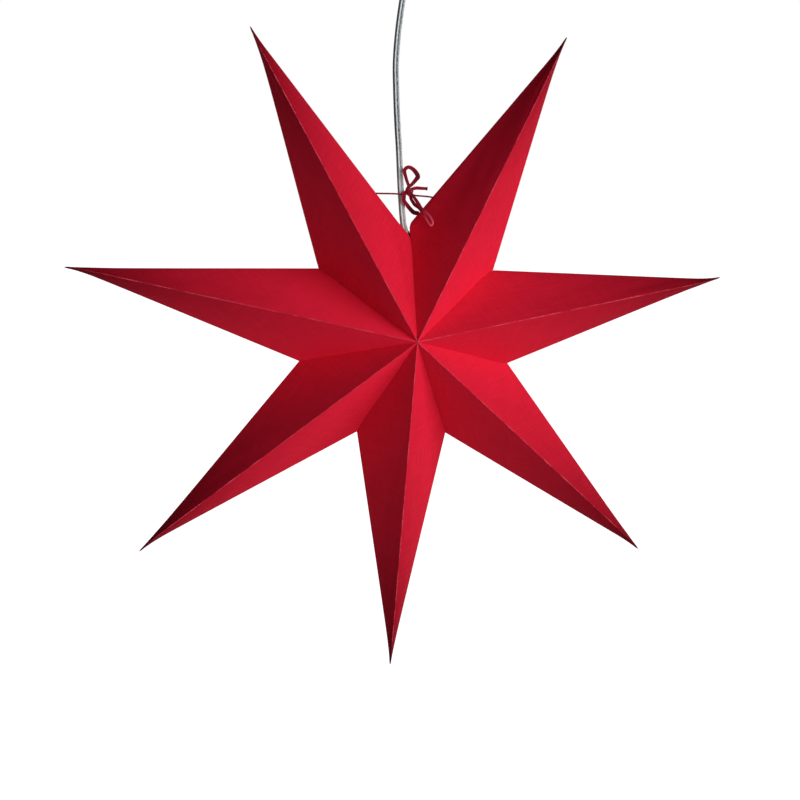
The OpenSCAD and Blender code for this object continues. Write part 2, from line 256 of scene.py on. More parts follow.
class Nodes:
    """Adds and joins shader nodes in one tree."""

    def __init__(self, tree: bpy.types.NodeTree) -> None:
        """Works in the given tree."""
        self.tree = tree

    def add(
        self, kind: str, inputs: dict[str | int, Any] | None = None, **settings: Any
    ) -> bpy.types.Node:
        """Adds a node.

        Args:
            kind: The node's type, such as ShaderNodeMath.
            inputs: A value or a socket for each named input.
            settings: The node's own settings.

        Returns:
            The new node.
        """
        node = self.tree.nodes.new(kind)
        for key, value in settings.items():
            setattr(node, key, value)
        self.put(node, inputs or {})
        return node

    def put(self, node: bpy.types.Node, inputs: dict[str | int, Any]) -> None:
        """Links the sockets among the inputs to a node, and sets the plain values on it.

        Args:
            node: The node.
            inputs: A value or a socket for each named input.
        """
        for key, value in inputs.items():
            if isinstance(value, bpy.types.NodeSocket):
                self.tree.links.new(value, node.inputs[key])
            else:
                node.inputs[key].default_value = value

    def math(self, operation: str, *values: Any, clamp: bool = False) -> bpy.types.NodeSocket:
        """The result of a sum on values or sockets."""
        node = self.add(
            "ShaderNodeMath", dict(enumerate(values)), operation=operation, use_clamp=clamp
        )
        return node.outputs[0]

    def span(
        self, value: Any, low: Any, high: Any, to_low: float = 0.0, to_high: float = 1.0
    ) -> bpy.types.NodeSocket:
        """A smooth step: to_low below low, to_high above high."""
        inputs = {"Value": value, "From Min": low, "From Max": high}
        inputs.update({"To Min": to_low, "To Max": to_high})
        node = self.add("ShaderNodeMapRange", inputs, interpolation_type="SMOOTHSTEP")
        return node.outputs[0]

    def mix(self, share: Any, a: Any, b: Any, blend: str = "MIX") -> bpy.types.NodeSocket:
        """A colour between a and b, at the given share."""
        a, b = (c if isinstance(c, bpy.types.NodeSocket) else (*c, 1.0) for c in (a, b))
        node = self.add(
            "ShaderNodeMix", {0: share, 6: a, 7: b}, data_type="RGBA", blend_type=blend
        )
        return node.outputs[2]

    def shaded(self, colour: Any, shade: bpy.types.NodeSocket) -> bpy.types.NodeSocket:
        """A colour times a value."""
        grey = self.add("ShaderNodeCombineColor", {0: shade, 1: shade, 2: shade}).outputs[0]
        return self.mix(1.0, colour, grey, "MULTIPLY")

    def noise(self, vector: Any, scale: Any, detail: float = 2.0, seed: Any = 0.0) -> Any:
        """A soft random value from 0 to 1, with its own seed."""
        inputs = {"Vector": vector, "W": seed, "Scale": scale, "Detail": detail}
        node = self.add("ShaderNodeTexNoise", inputs, noise_dimensions="4D")
        return node.outputs[0]

    def place(self) -> bpy.types.NodeSocket:
        """Where a point lies on the object, in metres."""
        return self.add("ShaderNodeTexCoord").outputs["Object"]

    def flat(self) -> bpy.types.NodeSocket:
        """Where a point lies on the flat piece."""
        return self.add("ShaderNodeUVMap", uv_map="flat").outputs[0]

    def weight(self, name: str) -> bpy.types.NodeSocket:
        """The value of one of the mesh's named weights."""
        return self.add("ShaderNodeAttribute", attribute_name=name).outputs["Fac"]

    def group(self, tree: bpy.types.NodeTree, **inputs: Any) -> Any:
        """Places a node group and gives its outputs."""
        return self.add("ShaderNodeGroup", inputs, node_tree=tree).outputs

    def bump(self, height: bpy.types.NodeSocket, relief: float) -> bpy.types.NodeSocket:
        """The normal over a height of 0 to 1, where 1 stands out by the relief in metres."""
        return self.add("ShaderNodeBump", {"Height": height, "Distance": relief}).outputs[0]


def effect(
    name: str, inputs: dict[str, tuple[str, Any]], outputs: dict[str, str],
    fill: Callable[[Nodes, Any, Any], None],
) -> bpy.types.NodeTree:
    """Makes a node group, or gives the one that was made before.

    Args:
        name: The group's name.
        inputs: For each input its socket type and its usual value.
        outputs: For each output its socket type.
        fill: Puts the nodes in, given the helper and the group's two end nodes.

    Returns:
        The group's tree.
    """
    if name in bpy.data.node_groups:
        return bpy.data.node_groups[name]
    tree = bpy.data.node_groups.new(name, "ShaderNodeTree")
    for key, (kind, value) in inputs.items():
        socket = tree.interface.new_socket(key, in_out="INPUT", socket_type=kind)
        if value is not None:
            socket.default_value = value
    for key, kind in outputs.items():
        tree.interface.new_socket(key, in_out="OUTPUT", socket_type=kind)
    nodes = Nodes(tree)
    fill(nodes, nodes.add("NodeGroupInput"), nodes.add("NodeGroupOutput"))
    return tree


NUMBER = "NodeSocketFloat"
VECTOR = "NodeSocketVector"


def linen() -> bpy.types.NodeTree:
    """Linen pressed into paper: uneven threads both ways, each a long stretched noise.

    Returns:
        A group that puts out the thread height and the paler slubs, both 0 to 1.
    """

    def fill(n: Nodes, start: Any, end: Any) -> None:
        turned = n.add(
            "ShaderNodeVectorRotate",
            {"Vector": start.outputs["Flat"], "Angle": start.outputs["Angle"]},
            rotation_type="Z_AXIS",
        ).outputs[0]
        threads = []
        for seed, stretch in ((1.3, (1.0, 0.05, 1.0)), (6.1, (0.05, 1.0, 1.0))):
            long_way = n.add(
                "ShaderNodeVectorMath", {0: turned, 1: stretch}, operation="MULTIPLY"
            ).outputs[0]
            seeded = n.math("ADD", start.outputs["Seed"], seed)
            threads.append(n.noise(long_way, start.outputs["Threads"], 2.0, seeded))
        height = n.math("MULTIPLY", n.math("ADD", threads[0], threads[1]), 0.5)
        thick = n.math("MAXIMUM", threads[0], threads[1])
        patch = n.noise(turned, 26.0, 1.0, 3.7)
        slub = n.math("MULTIPLY", n.span(thick, 0.6, 0.76), n.span(patch, 0.35, 0.65))
        n.put(end, {"Height": height, "Slub": slub})

    return effect(
        "linen",
        {"Flat": (VECTOR, None), "Angle": (NUMBER, 0.0), "Threads": (NUMBER, 700.0),
         "Seed": (NUMBER, 0.0)},
        {"Height": NUMBER, "Slub": NUMBER},
        fill,
    )


def fold_wear_and_highlight() -> bpy.types.NodeTree:
    """A thin pale line along a fold, in broken stretches: worn colour and painted highlight.

    Returns:
        A group that puts out the mask of the line.
    """

    def fill(n: Nodes, start: Any, end: Any) -> None:
        distance, width = start.outputs["Distance"], start.outputs["Width"]
        fine = n.noise(start.outputs["Place"], 620.0, 3.0, 2.2)
        coarse = n.noise(start.outputs["Place"], 75.0, 2.0, 8.4)
        ragged = n.math("MULTIPLY", width, n.span(fine, 0.3, 0.72, 0.35, 1.6))
        line = n.span(distance, ragged, n.math("MULTIPLY", ragged, 0.35))
        strength = n.span(coarse, 0.35, 0.66, 0.12, 1.0)
        n.put(end, {"Mask": n.math("MULTIPLY", line, strength)})

    return effect(
        "fold_wear_and_highlight",
        {"Distance": (NUMBER, 1.0), "Width": (NUMBER, 0.0006), "Place": (VECTOR, None)},
        {"Mask": NUMBER},
        fill,
    )


def flecks() -> bpy.types.NodeTree:
    """Sparse small marks: the middles of a few scattered cells.

    Returns:
        A group that puts out the mask of the marks.
    """

    def fill(n: Nodes, start: Any, end: Any) -> None:
        cells = n.add(
            "ShaderNodeTexVoronoi",
            {"Vector": start.outputs["Place"], "Scale": start.outputs["Scale"]},
            voronoi_dimensions="3D",
        )
        spot = n.span(cells.outputs["Distance"], start.outputs["Size"], 0.0)
        chance = n.add("ShaderNodeSeparateColor", {"Color": cells.outputs["Color"]})
        rare = n.math("GREATER_THAN", chance.outputs[0], start.outputs["Rarity"])
        n.put(end, {"Mask": n.math("MULTIPLY", spot, rare)})

    return effect(
        "flecks",
        {"Place": (VECTOR, None), "Scale": (NUMBER, 60.0), "Size": (NUMBER, 0.06),
         "Rarity": (NUMBER, 0.9)},
        {"Mask": NUMBER},
        fill,
    )


def mottle() -> bpy.types.NodeTree:
    """Soft uneven colour and gloss, from a broad noise with a finer one on it.

    Returns:
        A group that puts out a value around 1, 1 + 4 Amount (noise - 0.5).
    """

    def fill(n: Nodes, start: Any, end: Any) -> None:
        noise = n.add(
            "ShaderNodeTexNoise",
            {"Vector": start.outputs["Place"], "Scale": start.outputs["Scale"], "Detail": 4.0},
        ).outputs[0]
        swing = n.math("MULTIPLY", n.math("SUBTRACT", noise, 0.5), start.outputs["Amount"])
        n.put(end, {"Value": n.math("MULTIPLY_ADD", swing, 4.0, 1.0)})

    return effect(
        "mottle",
        {"Place": (VECTOR, None), "Scale": (NUMBER, 30.0), "Amount": (NUMBER, 0.05)},
        {"Value": NUMBER},
        fill,
    )


def new_material(name: str) -> tuple[bpy.types.Material, Nodes, bpy.types.Node]:
    """An empty material with its Principled shader.

    Args:
        name: The material's name.

    Returns:
        The material, its node helper and its shader node.
    """
    material = bpy.data.materials.new(name)
    material.use_nodes = True
    material.node_tree.nodes.clear()
    nodes = Nodes(material.node_tree)
    shader = nodes.add("ShaderNodeBsdfPrincipled")
    nodes.add("ShaderNodeOutputMaterial", {"Surface": shader.outputs[0]})
    return material, nodes, shader


@dataclass(frozen=True)
class PaperFinish:
    """Dyed paper with a pressed linen grain; its pale folds are partly a painted highlight."""

    # The colour near the middle of the star and out at the tips: the darker tip colour is painted
    # shade, standing in for light that falls off towards the tips.
    middle: Colour = srgb(244, 35, 63)
    tip: Colour = srgb(122, 6, 23)
    # The pale fold line: partly worn colour, partly a painted highlight on the fold.
    worn: Colour = srgb(255, 98, 120)
    rim: Colour = srgb(236, 120, 135)
    fleck: Colour = srgb(250, 205, 205)
    roughness: float = 0.7
    specular: float = 0.14
    ior: float = 1.18
    threads: float = 640.0
    relief: float = 0.00006
    # How much darker the hollows of the grain are, and how much paler its slubs.
    hollow: float = 0.88
    slub: float = 1.1
    # How much paler the flap left free at the slot is: painted light that lifts it to the
    # brightness of the facet it continues. And how much darker the very tips are, painted shade,
    # up to which share of the way to the base.
    flap_painted_light: float = 1.2
    tip_end_shade: float = 0.62
    tip_end_shade_reach: float = 0.14
    line_width: float = 0.0008
    # How far the pale fold line and a fleck take on their own colours.
    line_share: float = 0.85
    fleck_share: float = 0.8
    # How the painted shade darkens the colour towards the tip: a power of the way out.
    tip_gradient_power: float = 1.5
    # The height of the grain below which lies a hollow, and above which a thread.
    weave: tuple[float, float] = (0.36, 0.64)

    def outside(
        self, name: str, grain: float, seed: float, painted_shading: tuple[float, float]
    ) -> bpy.types.Material:
        """The coloured side, with painted shade towards the tips and painted light on the free
        flap.

        Args:
            name: The material's name.
            grain: Angle of the linen from the front fold, in degrees.
            seed: Sets this sheet's own threads apart.
            painted_shading: How much lighter or darker the sheet is painted at its tip and at its
                base: painted light and shade.

        Returns:
            The material.
        """
        material, n, shader = new_material(name)
        linen_in = {"Angle": radians(grain), "Threads": self.threads, "Seed": seed}
        cloth = n.group(linen(), Flat=n.flat(), **linen_in)
        along, place = n.weight("along"), n.place()
        soft = n.group(mottle(), Place=place, Scale=16.0, Amount=0.035)[0]
        line = n.group(
            fold_wear_and_highlight(), Distance=n.weight("fold"), Width=self.line_width, Place=place
        )[0]
        marks = n.group(flecks(), Place=place, Scale=42.0, Size=0.035, Rarity=0.93)[0]
        weave = n.span(cloth["Height"], *self.weave)
        # Painted shade: the colour darkens from the middle colour to the tip colour out along each
        # point.
        painted_tip_gradient = n.math("POWER", n.math("SUBTRACT", 1.0, along, clamp=True), self.tip_gradient_power)
        colour = n.mix(painted_tip_gradient, self.middle, self.tip)
        woven = n.math("MULTIPLY_ADD", weave, 1.0 - self.hollow, self.hollow)
        slub = n.math("MULTIPLY_ADD", cloth["Slub"], self.slub - 1.0, 1.0)
        # Painted light on the free flap at the slot.
        paler = n.math("MULTIPLY_ADD", n.weight("rubbed"), self.flap_painted_light - 1.0, 1.0)
        # Painted light and shade for this sheet, from its tip to its base.
        sheet_shading = n.math("MULTIPLY_ADD", along, painted_shading[1] - painted_shading[0], painted_shading[0])
        shade = n.math("MULTIPLY", n.math("MULTIPLY", soft, paler), n.math("MULTIPLY", woven, slub))
        # Painted shade: the very tips are darkened, and the pale fold line is kept off them.
        away_from_tip = n.span(along, 0.0, self.tip_end_shade_reach)
        clear = n.math("MULTIPLY_ADD", away_from_tip, 1.0 - self.tip_end_shade, self.tip_end_shade)
        shade = n.math("MULTIPLY", shade, n.math("MULTIPLY", sheet_shading, clear))
        line = n.math("MULTIPLY", line, away_from_tip)
        colour = n.shaded(colour, shade)
        colour = n.mix(n.math("MULTIPLY", line, self.line_share), colour, self.worn)
        colour = n.mix(n.math("MULTIPLY", marks, self.fleck_share), colour, self.fleck)
        gloss = n.math("MULTIPLY_ADD", weave, -0.08, self.roughness + 0.04)
        n.put(shader, {
            "Base Color": colour, "Roughness": gloss, "Specular IOR Level": self.specular,
            "IOR": self.ior, "Normal": n.bump(cloth["Height"], self.relief),
        })
        return material

    def edge(self, name: str) -> bpy.types.Material:
        """The cut edge, where the pale core of the paper shows."""
        material, n, shader = new_material(name)
        soft = n.group(mottle(), Place=n.place(), Scale=900.0, Amount=0.2)[0]
        colour = n.mix(n.math("MULTIPLY", soft, 0.5), self.middle, self.rim)
        n.put(shader, {"Base Color": colour, "Roughness": 0.9})
        return material


@dataclass(frozen=True)
class RibbonFinish:
    """A narrow woven ribbon with a paler selvedge, painted shade and painted highlights."""

    middle: Colour = srgb(138, 12, 34)
    selvedge: Colour = srgb(214, 66, 92)
    # Where its edge catches the light.
    lit: Colour = srgb(255, 112, 142)
    # Painted shade where the ribbon turns its back, and painted shadow over its cut ends.
    painted_shade: Colour = srgb(52, 6, 14)
    roughness: float = 0.75
    specular: float = 0.15
    # The scale of the wave texture that draws the ribs across it.
    rib_scale: float = 412.698412698
    relief: float = 0.00005

    def material(self) -> bpy.types.Material:
        """The ribbon's material, with ribs across it and a paler selvedge."""
        material, n, shader = new_material("ribbon")
        flat = n.flat()
        over = n.add("ShaderNodeSeparateXYZ", {0: flat}).outputs[1]
        selvedge = n.span(n.math("ABSOLUTE", over), 0.62, 0.98)
        ribs = n.add(
            "ShaderNodeTexWave",
            {"Vector": flat, "Scale": self.rib_scale, "Distortion": 1.2, "Detail": 2.0},
            bands_direction="X",
        ).outputs["Fac"]
        soft = n.group(mottle(), Place=n.place(), Scale=300.0, Amount=0.12)[0]
        colour = n.shaded(n.mix(selvedge, self.middle, self.selvedge), soft)
        colour = n.mix(n.math("MULTIPLY", ribs, 0.1), colour, self.selvedge)
        # Painted shade where this weight is above 0, and a painted highlight where it is below.
        cut = n.weight("cut")
        colour = n.mix(n.math("MULTIPLY", cut, -1.0, clamp=True), colour, self.lit)
        colour = n.mix(n.math("MULTIPLY", cut, 1.0, clamp=True), colour, self.painted_shade)
        rough = n.math("MULTIPLY_ADD", ribs, 0.12, self.roughness)
        n.put(shader, {
            "Base Color": colour, "Roughness": rough, "Specular IOR Level": self.specular,
            "Normal": n.bump(ribs, self.relief),
        })
        return material


@dataclass(frozen=True)
class SheathFinish:
    """Clear sheath close over tinned strands.

    Across the cord lie a dark edge, painted shade on the side turned from the light, a bright
    seam, a painted highlight, the grey strands of the second core and a lighter edge, a painted
    highlight on the side towards the light. The strands are dashes that run slantwise along the
    cord. The greys are tinted cool, which cancels the red light that the star throws on the cord.
    """

    # The dark edge is painted shade, and the seam colour a painted highlight.
    edge: Colour = (0.024, 0.028, 0.031)
    seam: Colour = (0.76, 0.81, 0.83)
    strand: Colour = (0.075, 0.088, 0.094)
    bright: Colour = (0.46, 0.51, 0.53)
    pale: Colour = (0.8, 0.89, 0.91)
    roughness: float = 0.18
    coat: float = 0.3
    specular: float = 0.2
    relief: float = 0.00005
    # The heights between which the cord turns paler, on its way down to the slot.
    paler: tuple[float, float] = (-0.16, -0.215)
    # Where the painted highlight of the bright seam and the inner edge of the painted shade
    # along the dark edge lie, across the cord from -1 to 1.
    seam_at: float = -0.16
    edge_shade_from: tuple[float, float] = (-0.26, -0.52)

    def material(self) -> bpy.types.Material:
        """The sheath's material."""
        material, n, shader = new_material("clear_sheath")
        along, across = n.add("ShaderNodeSeparateXYZ", {0: n.flat()}).outputs[:2]
        place = n.place()
        height = n.add("ShaderNodeSeparateXYZ", {0: place}).outputs[2]
        drift = n.math("SUBTRACT", n.noise(place, 45.0, 1.0, 4.0), 0.5)
        u = n.math("MULTIPLY_ADD", drift, 0.35, across)
        slant = n.math("MULTIPLY_ADD", along, 110.0, n.math("MULTIPLY", across, 4.5))
        long_way = n.add(
            "ShaderNodeCombineXYZ", {0: n.math("MULTIPLY", along, 330.0), 1: slant}
        ).outputs[0]
        dash = n.span(n.noise(long_way, 1.0, 2.0, 1.0), 0.4, 0.64)
        speck = n.span(n.noise(place, 1400.0, 2.0, 3.0), 0.5, 0.7)
        lit = n.math("MAXIMUM", dash, n.math("MULTIPLY", speck, 0.8))
        colour = n.mix(lit, self.strand, self.bright)
        # Painted highlights: the bright seam, and the lighter edge towards the light.
        seam = n.span(n.math("ABSOLUTE", n.math("ADD", u, -self.seam_at)), 0.24, 0.08)
        colour = n.mix(n.math("MULTIPLY", seam, 0.75), colour, self.seam)
        colour = n.mix(n.span(u, 0.6, 0.9, 0.0, 0.55), colour, self.seam)
        low = n.span(height, *self.paler, 0.0, 0.5)
        colour = n.mix(low, colour, self.pale)
        # Painted shade: the dark edge turned from the light, fading on the paler low stretch.
        dark = n.math("SUBTRACT", n.span(u, *self.edge_shade_from), n.math("MULTIPLY", low, 0.6))
        colour = n.mix(n.math("MAXIMUM", dark, 0.0), colour, self.edge)
        rough = n.math("MULTIPLY_ADD", speck, 0.15, self.roughness)
        n.put(shader, {
            "Base Color": colour, "Roughness": rough, "Specular IOR Level": self.specular,
            "Coat Weight": self.coat, "Normal": n.bump(dash, self.relief),
        })
        return material


class Metal(Enum):
    """The plain metals on the lamp and the ceiling fitting."""

    BRASS = "plain_brass"
    STEEL = "plated_steel"


@dataclass(frozen=True)
class MetalFinish:
    """A bare metal with faint drawn lines and dull patches."""

    kind: Metal
    colour: Colour
    dull: Colour
    roughness: float
    metallic: float = 1.0
    relief: float = 0.00001

    def material(self) -> bpy.types.Material:
        """The metal's material."""
        material, n, shader = new_material(self.kind.value)
        place = n.place()
        drawn = n.add(
            "ShaderNodeVectorMath", {0: place, 1: (1.0, 1.0, 0.08)}, operation="MULTIPLY"
        ).outputs[0]
        lines = n.noise(drawn, 2200.0, 3.0, 1.0)
        patch = n.noise(place, 140.0, 3.0, 5.0)
        colour = n.mix(n.span(patch, 0.4, 0.7), self.colour, self.dull)
        rough = n.math("MULTIPLY_ADD", lines, 0.25, self.roughness - 0.1)
        n.put(shader, {
            "Base Color": colour, "Roughness": rough, "Metallic": self.metallic,
            "Normal": n.bump(lines, self.relief),
        })
        return material


@dataclass(frozen=True)
class MouldedFinish:
    """A moulded or fired pale piece: its skin, mottle and gloss."""

    name: str
    colour: Colour
    shade: Colour
    roughness: float
    grain: float
    relief: float
    coat: float = 0.0
    transmission: float = 0.0

    def material(self) -> bpy.types.Material:
        """The piece's material, with a fine skin and faint yellowing."""
        material, n, shader = new_material(self.name)
        place = n.place()
        skin = n.noise(place, self.grain, 3.0, 2.0)
        broad = n.noise(place, 45.0, 3.0, 7.0)
        colour = n.mix(n.span(broad, 0.35, 0.7), self.colour, self.shade)
        rough = n.math("MULTIPLY_ADD", skin, 0.16, self.roughness - 0.08)
        n.put(shader, {
            "Base Color": colour, "Roughness": rough, "Coat Weight": self.coat,
            "Transmission Weight": self.transmission, "Normal": n.bump(skin, self.relief),
        })
        return material


@dataclass(frozen=True)
class Sheet:
    """What sets one folded sheet apart from its neighbours. Angles are in degrees from +X
    towards +Z, lengths in metres."""

    node: str
    turn: float
    before: float
    after: float
    tip_bend: float
    grain: float
    seed: int
    # How far the valley before and the valley after wander, towards +Z from +X.
    wander_before: float = 0.0
    wander_after: float = 0.0
    # How far the free edge in front of the slot bows out, in the same way, and how far it
    # is pressed down onto the flap under it.
    slot_bow: float = 0.0
    slot_sag: float = 0.0
    # How far up the fold from the slot's corner the tie's hole is punched, if there is one.
    hole_up: float = 0.0
    # How much further the worn tip reaches, and how much lighter or darker the sheet is painted
    # at its tip and at its base: painted light and shade.
    stretch: float = 0.0
    painted_shading: tuple[float, float] = (1.0, 1.0)
    # How far the side folds before and after draw in towards the point's axis near the tip.
    drawn: tuple[float, float] = (0.0, 0.0)
    # How much further out the notches before and after lie than the rest.
    notch: tuple[float, float] = (0.0, 0.0)


SHEETS = (
    Sheet(
        "point_1", 117, 142.5, 93.5, 1.2 * MM, 63, 11, wander_before=-0.9 * MM, hole_up=33 * MM,
        stretch=1.0 * MM, painted_shading=(0.88, 1.0), drawn=(3.4 * MM, -0.5 * MM), notch=(-0.6 * MM, 0.0),
    ),
    Sheet(
        "point_2", 60.75, 86.5, 35, -0.6 * MM, 20, 12,
        wander_after=1.9 * MM, slot_bow=2.0 * MM, slot_sag=2.6 * MM, hole_up=30 * MM,
        stretch=4.0 * MM, painted_shading=(1.04, 0.97), drawn=(0.4 * MM, 2.7 * MM), notch=(0.0, 0.9 * MM),
    ),
    Sheet(
        "point_3", 9, 35, -16.4, -1.5 * MM, 90, 13, 1.9 * MM, -1.1 * MM,
        stretch=1.0 * MM, painted_shading=(1.0, 0.92), drawn=(0.4 * MM, 2.0 * MM),
        notch=(0.9 * MM, 0.8 * MM),
    ),
    Sheet(
        "point_4", -42.5, -16.4, -67.5, 1.2 * MM, 35, 14, wander_before=-1.1 * MM,
        stretch=1.0 * MM, painted_shading=(1.02, 0.88), drawn=(1.4 * MM, -0.2 * MM),
        notch=(0.8 * MM, -0.4 * MM),
    ),
    Sheet(
        "point_5", -92.5, -67.5, -116.5, 0.2 * MM, 90, 15, wander_after=-0.9 * MM,
        stretch=2.5 * MM, painted_shading=(0.99, 0.87), drawn=(0.9 * MM, 0.7 * MM),
        notch=(-0.4 * MM, -0.7 * MM),
    ),
    Sheet(
        "point_6", -141.75, -116.5, -166.5, -1.3 * MM, 70, 16, wander_before=-0.9 * MM,
        stretch=2.5 * MM, painted_shading=(0.9, 1.14), drawn=(0.6 * MM, 2.1 * MM),
        notch=(-0.7 * MM, -0.4 * MM),
    ),
    Sheet(
        "point_7", -192, -166.5, -217.5, -1.1 * MM, 45, 17, wander_after=-0.9 * MM,
        stretch=2.5 * MM, painted_shading=(0.92, 1.29), drawn=(0.9 * MM, 1.7 * MM),
        notch=(-0.4 * MM, -0.6 * MM),
    ),
)


@dataclass
class FoldedPoint:
    """One sheet folded into a hollow point of the star, with its glue flaps.

    The sizes are the model's own. The surface has finer steps and the paper's own swell,
    and the sheet's worn tip, drawn-in folds and shifted notches, which the model lacks.
    """

    sheet: Sheet
    tip_reach: float = 308 * MM
    valley_reach: float = 100.5 * MM
    slot_reach: float = 103 * MM
    half_depth: float = 86 * MM
    bow: float = 1.2 * MM
    paper: float = 0.4 * MM
    flap_w: float = 12 * MM
    glue: float = 0.1 * MM
    bend_length: float = 26 * MM
    free_dip: float = 0.26
    ripple: float = 0.35 * MM
    # Where the front apex really lies, off the middle of the star.
    apex_off: tuple[float, float, float] = (-3.3 * MM, 0.0, 0.0)
    # How much wider than a sharp point the worn tip is, on either side, and the shares of the
    # way over which this fades and sets in.
    blunt: float = 0.6 * MM
    blunt_fade: float = 0.03
    blunt_start: float = 0.004
    # The power that puts the deepest draw of a side fold near the tip, and the share of the
    # way over which it sets in.
    draw_power: float = 0.36
    draw_start: float = 0.06
    # Shares of a facet's base: where a glue flap starts, how fast it widens, where it ends
    # and how fast it narrows.
    flap_start: float = 0.06
    flap_rise: float = 0.06
    flap_end: float = 0.88
    flap_fall: float = 0.08
    # The same for the flap left free at the slot: start, widening and rounded end.
    free_start: float = 0.04
    free_rise: float = 0.36
    free_round: float = 0.2
    hole: float = 3.2 * MM
    hole_back: float = 3.2 * MM
    punch_depth: float = 7 * MM
    ripples: int = 5
    rows: int = 76
    columns: int = 22
    # Rows stand closer near the tip: the first lies at this share of the way, and the shares
    # are raised to this power.
    first_row: float = 0.006
    row_power: float = 1.25
    finish: PaperFinish = field(default_factory=PaperFinish)

    def __post_init__(self) -> None:
        """Works out the corners and planes that the surface hangs on."""
        s = self.sheet
        self.first = s.node == "point_1"
        self.second = s.node == "point_2"
        self.tip = (self.tip_reach + s.stretch) * bearing(s.turn)
        spread = radians(s.before - s.after)
        middle = (self.glue / 2) / sin(spread / 2) * bearing((s.before + s.after) / 2)
        deep = np.array([0.0, self.half_depth, 0.0])
        after = (self.slot_reach if self.first else self.valley_reach) + s.notch[1]
        before = (self.slot_reach if self.second else self.valley_reach) + s.notch[0]
        self.corners = np.array(
            [
                middle - deep,
                middle + after * bearing(s.after),
                middle + deep,
                middle + before * bearing(s.before),
            ]
        )
        self.middle = middle
        ahead = np.roll(self.corners, -1, axis=0)
        self.normals = unit(np.cross(ahead - self.tip, self.corners - self.tip))
        self.sides = np.array([bearing(s.after + 90), bearing(s.before - 90)])
        self.inner_corners, self.inner_tip = self.offset_corners()
        self.corners[0] += self.apex_off
        self.inner_corners[0] += self.apex_off

    def offset_corners(self) -> tuple[np.ndarray, np.ndarray]:
        """The corners and the tip of the paper's inner face.

        Each is the point where three planes meet: facets moved in by the paper, and the
        side planes that hold the glue flaps.

        Returns:
            The four corners and the tip.
        """
        depth = self.normals @ self.tip + self.paper
        side = self.sides @ self.middle + self.paper

        def meet(rows: Sequence[np.ndarray], ends: Sequence[float]) -> np.ndarray:
            return np.linalg.solve(np.array(rows), np.array(ends))

        n, a, b = self.normals, self.sides[0], self.sides[1]
        front, back = (
            0.5 * sum(meet([n[k], a, b], [depth[k], *side]) for k in pair)
            for pair in ((0, 3), (1, 2))
        )
        corners = np.array(
            [
                front,
                meet([n[0], n[1], a], [depth[0], depth[1], side[0]]),
                back,
                meet([n[2], n[3], b], [depth[2], depth[3], side[1]]),
            ]
        )
        return corners, meet(n[:3], depth[:3])

    def base_line(self, corners: np.ndarray, k: int, t: np.ndarray) -> np.ndarray:
        """The base edge of a facet, with the valley's slight wander near the notch.

        The edge is straight between its corners, plus the wander times sin(pi v^4) across
        the valley, where v runs from the apex (0) to the notch (1), and minus half of that
        on the back. The free edge at the slot has its own bow as well, times
        1.3 sin(pi v^10) + 0.6 sin(pi v), and sags inwards by slot_sag v (1 - v^12).

        Args:
            corners: The four corners.
            k: The facet.
            t: Shares of the way from its first corner to its next.

        Returns:
            One point for each share.
        """
        a, b = corners[k], corners[(k + 1) % 4]
        line = a + (b - a) * t[:, None]
        facet = Facet(k)
        from_apex = t if facet in (Facet.FRONT_AFTER, Facet.BACK_BEFORE) else 1 - t
        if facet in (Facet.FRONT_AFTER, Facet.BACK_AFTER):
            wander, way = self.sheet.wander_after, bearing(self.sheet.after + 90)
        else:
            wander, way = self.sheet.wander_before, bearing(self.sheet.before + 90)
        if facet in (Facet.BACK_AFTER, Facet.BACK_BEFORE):
            wander *= -0.5
        across = wander * np.sin(pi * from_apex**4)
        if facet is Facet.FRONT_BEFORE:
            bow = 1.3 * np.sin(pi * from_apex**10) + 0.6 * np.sin(pi * from_apex)
            across = across + self.sheet.slot_bow * bow
            sag = self.sheet.slot_sag * from_apex * (1 - from_apex**12)
            line = line + sag[:, None] * self.normals[k]
        return line + across[:, None] * way

    def drawn_in(self, s: np.ndarray, t: np.ndarray, k: int) -> np.ndarray:
        """How the side folds draw in towards the point's axis, as hand folding leaves them.

        The shift is the sheet's own times sin(pi s^0.36) (1 - exp(-s / 0.06)), less the
        blunt tip's exp(-s / 0.03) (1 - exp(-s / 0.004)). It is whole at the side fold and
        falls evenly to nothing at the front and back folds.

        Args:
            s: Shares of the way from the tip to the base, one per row.
            t: Shares across the facet, one per column.
            k: The facet.

        Returns:
            The shift at each row and column, as vectors.
        """
        from_front = k in (0, 2)
        share = t if from_front else 1 - t
        after = k < 2
        way = bearing(self.sheet.turn + (90 if after else -90))
        run = np.sin(pi * s**self.draw_power) * (1 - np.exp(-s / self.draw_start))
        worn = np.exp(-s / self.blunt_fade) * (1 - np.exp(-s / self.blunt_start))
        shift = self.sheet.drawn[1 if after else 0] * run - self.blunt * worn
        return (shift[:, None] * share)[..., None] * way

    def bend(self, points: np.ndarray) -> np.ndarray:
        """Bends the worn tip sideways, by tip_bend u^2.

        u is 0 up to bend_length short of the tip's reach, and grows evenly to 1 at it.

        Args:
            points: Points of the sheet.

        Returns:
            The bent points.
        """
        out = bearing(self.sheet.turn)
        left = np.clip(1 - (self.tip_reach - points @ out) / self.bend_length, 0, None)
        way = bearing(self.sheet.turn - 90)
        return points + (self.sheet.tip_bend * left**2)[..., None] * way

